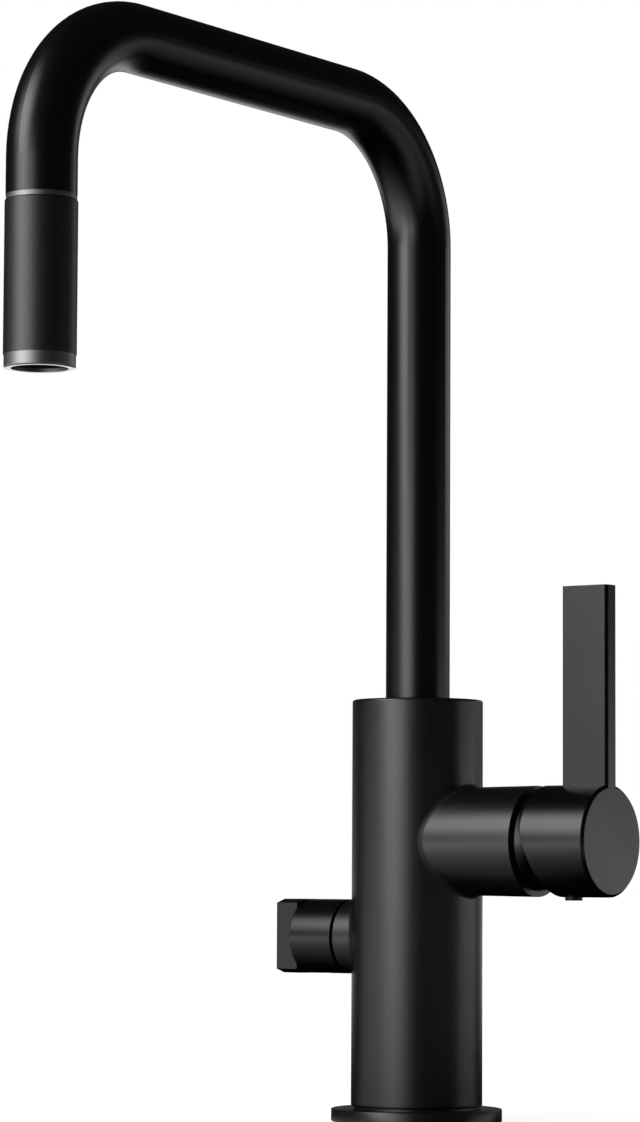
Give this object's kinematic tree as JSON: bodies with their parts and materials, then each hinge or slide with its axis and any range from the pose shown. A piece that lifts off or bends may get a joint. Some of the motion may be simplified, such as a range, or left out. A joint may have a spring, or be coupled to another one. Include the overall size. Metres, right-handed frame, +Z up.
{
  "type": "kitchen mixer tap",
  "caption": "Tall satin black kitchen mixer tap with a swivelling arched spout, pull-out head, side lever, side shut-off knob and worktop clamp.",
  "frame": {"origin": "centre of the base flange's underside, on the column's axis, where the tap stands on the worktop", "axes": "+Z up along the column, -Y along the spout's reach towards the sink, +X along the lever's arm, -X along the shut-off valve"},
  "size_m": [0.1463, 0.273, 0.4672],
  "materials": {
    "black_coat": "satin black coat",
    "stainless": "fine brushed",
    "zinc_steel": "bright zinc plate",
    "bare_brass": "turned",
    "seal_rubber": "smooth",
    "ceramic": "polished",
    "white_plastic": "moulded",
    "blue_plastic": "moulded",
    "grey_plastic": "moulded",
    "black_plastic": "moulded",
    "hose_braid": "braided nylon"
  },
  "bodies": {
    "base": {"base_flange": "black_coat", "deck_gasket": "seal_rubber", "column_foot": "black_coat", "foot_ring": "bare_brass", "column_body": "black_coat", "port_block": "bare_brass", "top_ring": "black_plastic", "threaded_shank": "bare_brass", "spout_bush_upper": "white_plastic", "spout_bush_lower": "white_plastic", "swing_stop_screw": "zinc_steel", "hose_foot": "hose_braid", "cartridge_housing": "white_plastic", "cartridge_base": "blue_plastic", "cartridge_seals": "seal_rubber", "fixed_disc": "ceramic", "cartridge_nut": "bare_brass", "dome_ring": "black_coat", "valve_housing": "bare_brass", "valve_seal": "seal_rubber", "valve_fixed_disc": "ceramic"},
    "spout": {"spout_pipe": "black_coat", "swing_collar": "bare_brass", "dock_ring": "stainless", "dock_sleeve": "black_plastic", "hose_riser": "hose_braid"},
    "hose_end": {"hose_tail": "hose_braid", "hose_nut": "bare_brass"},
    "head": {"hose_washer": "seal_rubber", "head_shell": "black_coat", "head_waterway": "grey_plastic", "check_valve": "white_plastic", "outlet_ring": "stainless", "aerator_insert": "black_plastic", "aerator_seal": "seal_rubber"},
    "rotor": {"cartridge_rotor": "blue_plastic", "pivot_pin": "zinc_steel"},
    "disc": {"moving_disc": "ceramic", "disc_carrier": "white_plastic"},
    "lever": {"lever_stem": "bare_brass", "lever_handle": "black_coat", "lever_grub_screw": "zinc_steel", "lever_plug": "black_plastic"},
    "shutoff": {"valve_spindle": "bare_brass", "valve_moving_disc": "ceramic", "shutoff_knob": "black_coat", "knob_grub_screw": "zinc_steel"},
    "clamp": {"clamp_gasket": "seal_rubber", "clamp_plate": "stainless", "clamp_nut": "bare_brass", "clamp_screws": "zinc_steel"}
  },
  "joints": [
    {"name": "spout_swivel", "type": "hinge", "parent": "base", "child": "spout", "pos_m": [0, 0, 0.14], "axis": [0, 0, 1], "range_deg": [-60, 60]},
    {"name": "head_pull", "type": "slide", "parent": "spout", "child": "hose_end", "axis": [0, 0, -1], "range_m": [0, 0.25], "stiffness_N_per_m": 10, "springref_m": -0.6, "deforming": ["hose_tail"]},
    {"name": "head_turn", "type": "hinge", "parent": "hose_end", "child": "head", "pos_m": [0, -0.228, 0.3], "axis": [0, 0, 1], "continuous": true},
    {"name": "mixing_turn", "type": "hinge", "parent": "base", "child": "rotor", "pos_m": [0.052, 0, 0.106], "axis": [1, 0, 0], "range_deg": [-45, 45]},
    {"name": "lever_tilt", "type": "hinge", "parent": "rotor", "child": "lever", "pos_m": [0.052, 0, 0.106], "axis": [0, 1, 0], "range_deg": [0, 25]},
    {"name": "disc_slide", "type": "slide", "parent": "rotor", "child": "disc", "axis": [0, 0, 1], "range_m": [0, 0.0043]},
    {"name": "shutoff_turn", "type": "hinge", "parent": "base", "child": "shutoff", "pos_m": [-0.03, 0, 0.0695], "axis": [-1, 0, 0], "range_deg": [0, 90]},
    {"name": "clamp_slide", "type": "slide", "parent": "base", "child": "clamp", "axis": [0, 0, -1], "range_m": [0, 0.08]}
  ],
  "couplings": [
    {"joint": "disc_slide", "follows": "lever_tilt", "m_per_rad": 0.009686}
  ]
}
